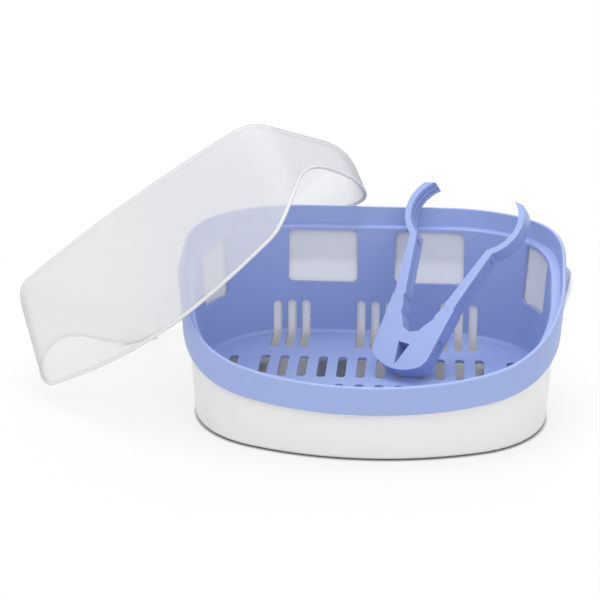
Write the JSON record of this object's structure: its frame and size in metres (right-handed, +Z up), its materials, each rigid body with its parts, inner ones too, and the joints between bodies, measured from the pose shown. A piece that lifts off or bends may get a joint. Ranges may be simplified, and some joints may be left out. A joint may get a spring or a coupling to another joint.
{
  "type": "microwave bottle sterilizer",
  "caption": "D-shaped microwave steam sterilizer for feeding bottles: water tray, slotted basket hung in it, frosted hood leaning over its corner, and bottle tongs",
  "frame": {"origin": "middle of the water tray's flat foot, on the surface it stands on", "axes": "+Z up, +X along the tray's width to the right as seen from its low front, +Y towards its high back"},
  "size_m": [0.4402, 0.2674, 0.2265],
  "materials": {
    "white_plastic": "smooth moulded polypropylene, semi-gloss",
    "blue_plastic": "smooth moulded polypropylene, soft sheen",
    "frosted_clear": "frosted translucent polypropylene, lightly glossy"
  },
  "bodies": {
    "tray": {"base": "white_plastic"},
    "basket_body": {"basket": "blue_plastic"},
    "hood": {"lid": "frosted_clear"},
    "tongs": {"tongs_hub": "blue_plastic"},
    "arm_left": {"tongs_arm_left": "blue_plastic"},
    "arm_right": {"tongs_arm_right": "blue_plastic"}
  },
  "joints": [
    {"name": "basket_lift", "type": "slide", "parent": "tray", "child": "basket_body", "axis": [0, 0, 1], "range_m": [0, 0.11]},
    {"name": "lid_lift", "type": "slide", "parent": "basket_body", "child": "hood", "axis": [0, 0, 1], "range_m": [0, 0.15]},
    {"name": "tongs_lift", "type": "slide", "parent": "basket_body", "child": "tongs", "axis": [0, 0, 1], "range_m": [0, 0.15]},
    {"name": "arm_right_bend", "type": "hinge", "parent": "tongs", "child": "arm_right", "pos_m": [0.06249, 0.01612, 0.07873], "axis": [-0.3414, -0.6421, 0.6865], "range_deg": [0, 12], "stiffness_Nm_per_rad": 0.4},
    {"name": "arm_left_bend", "type": "hinge", "parent": "tongs", "child": "arm_left", "pos_m": [0.02378, 0.03896, 0.08085], "axis": [0.3414, 0.6421, -0.6865], "range_deg": [0, 12], "stiffness_Nm_per_rad": 0.4}
  ]
}
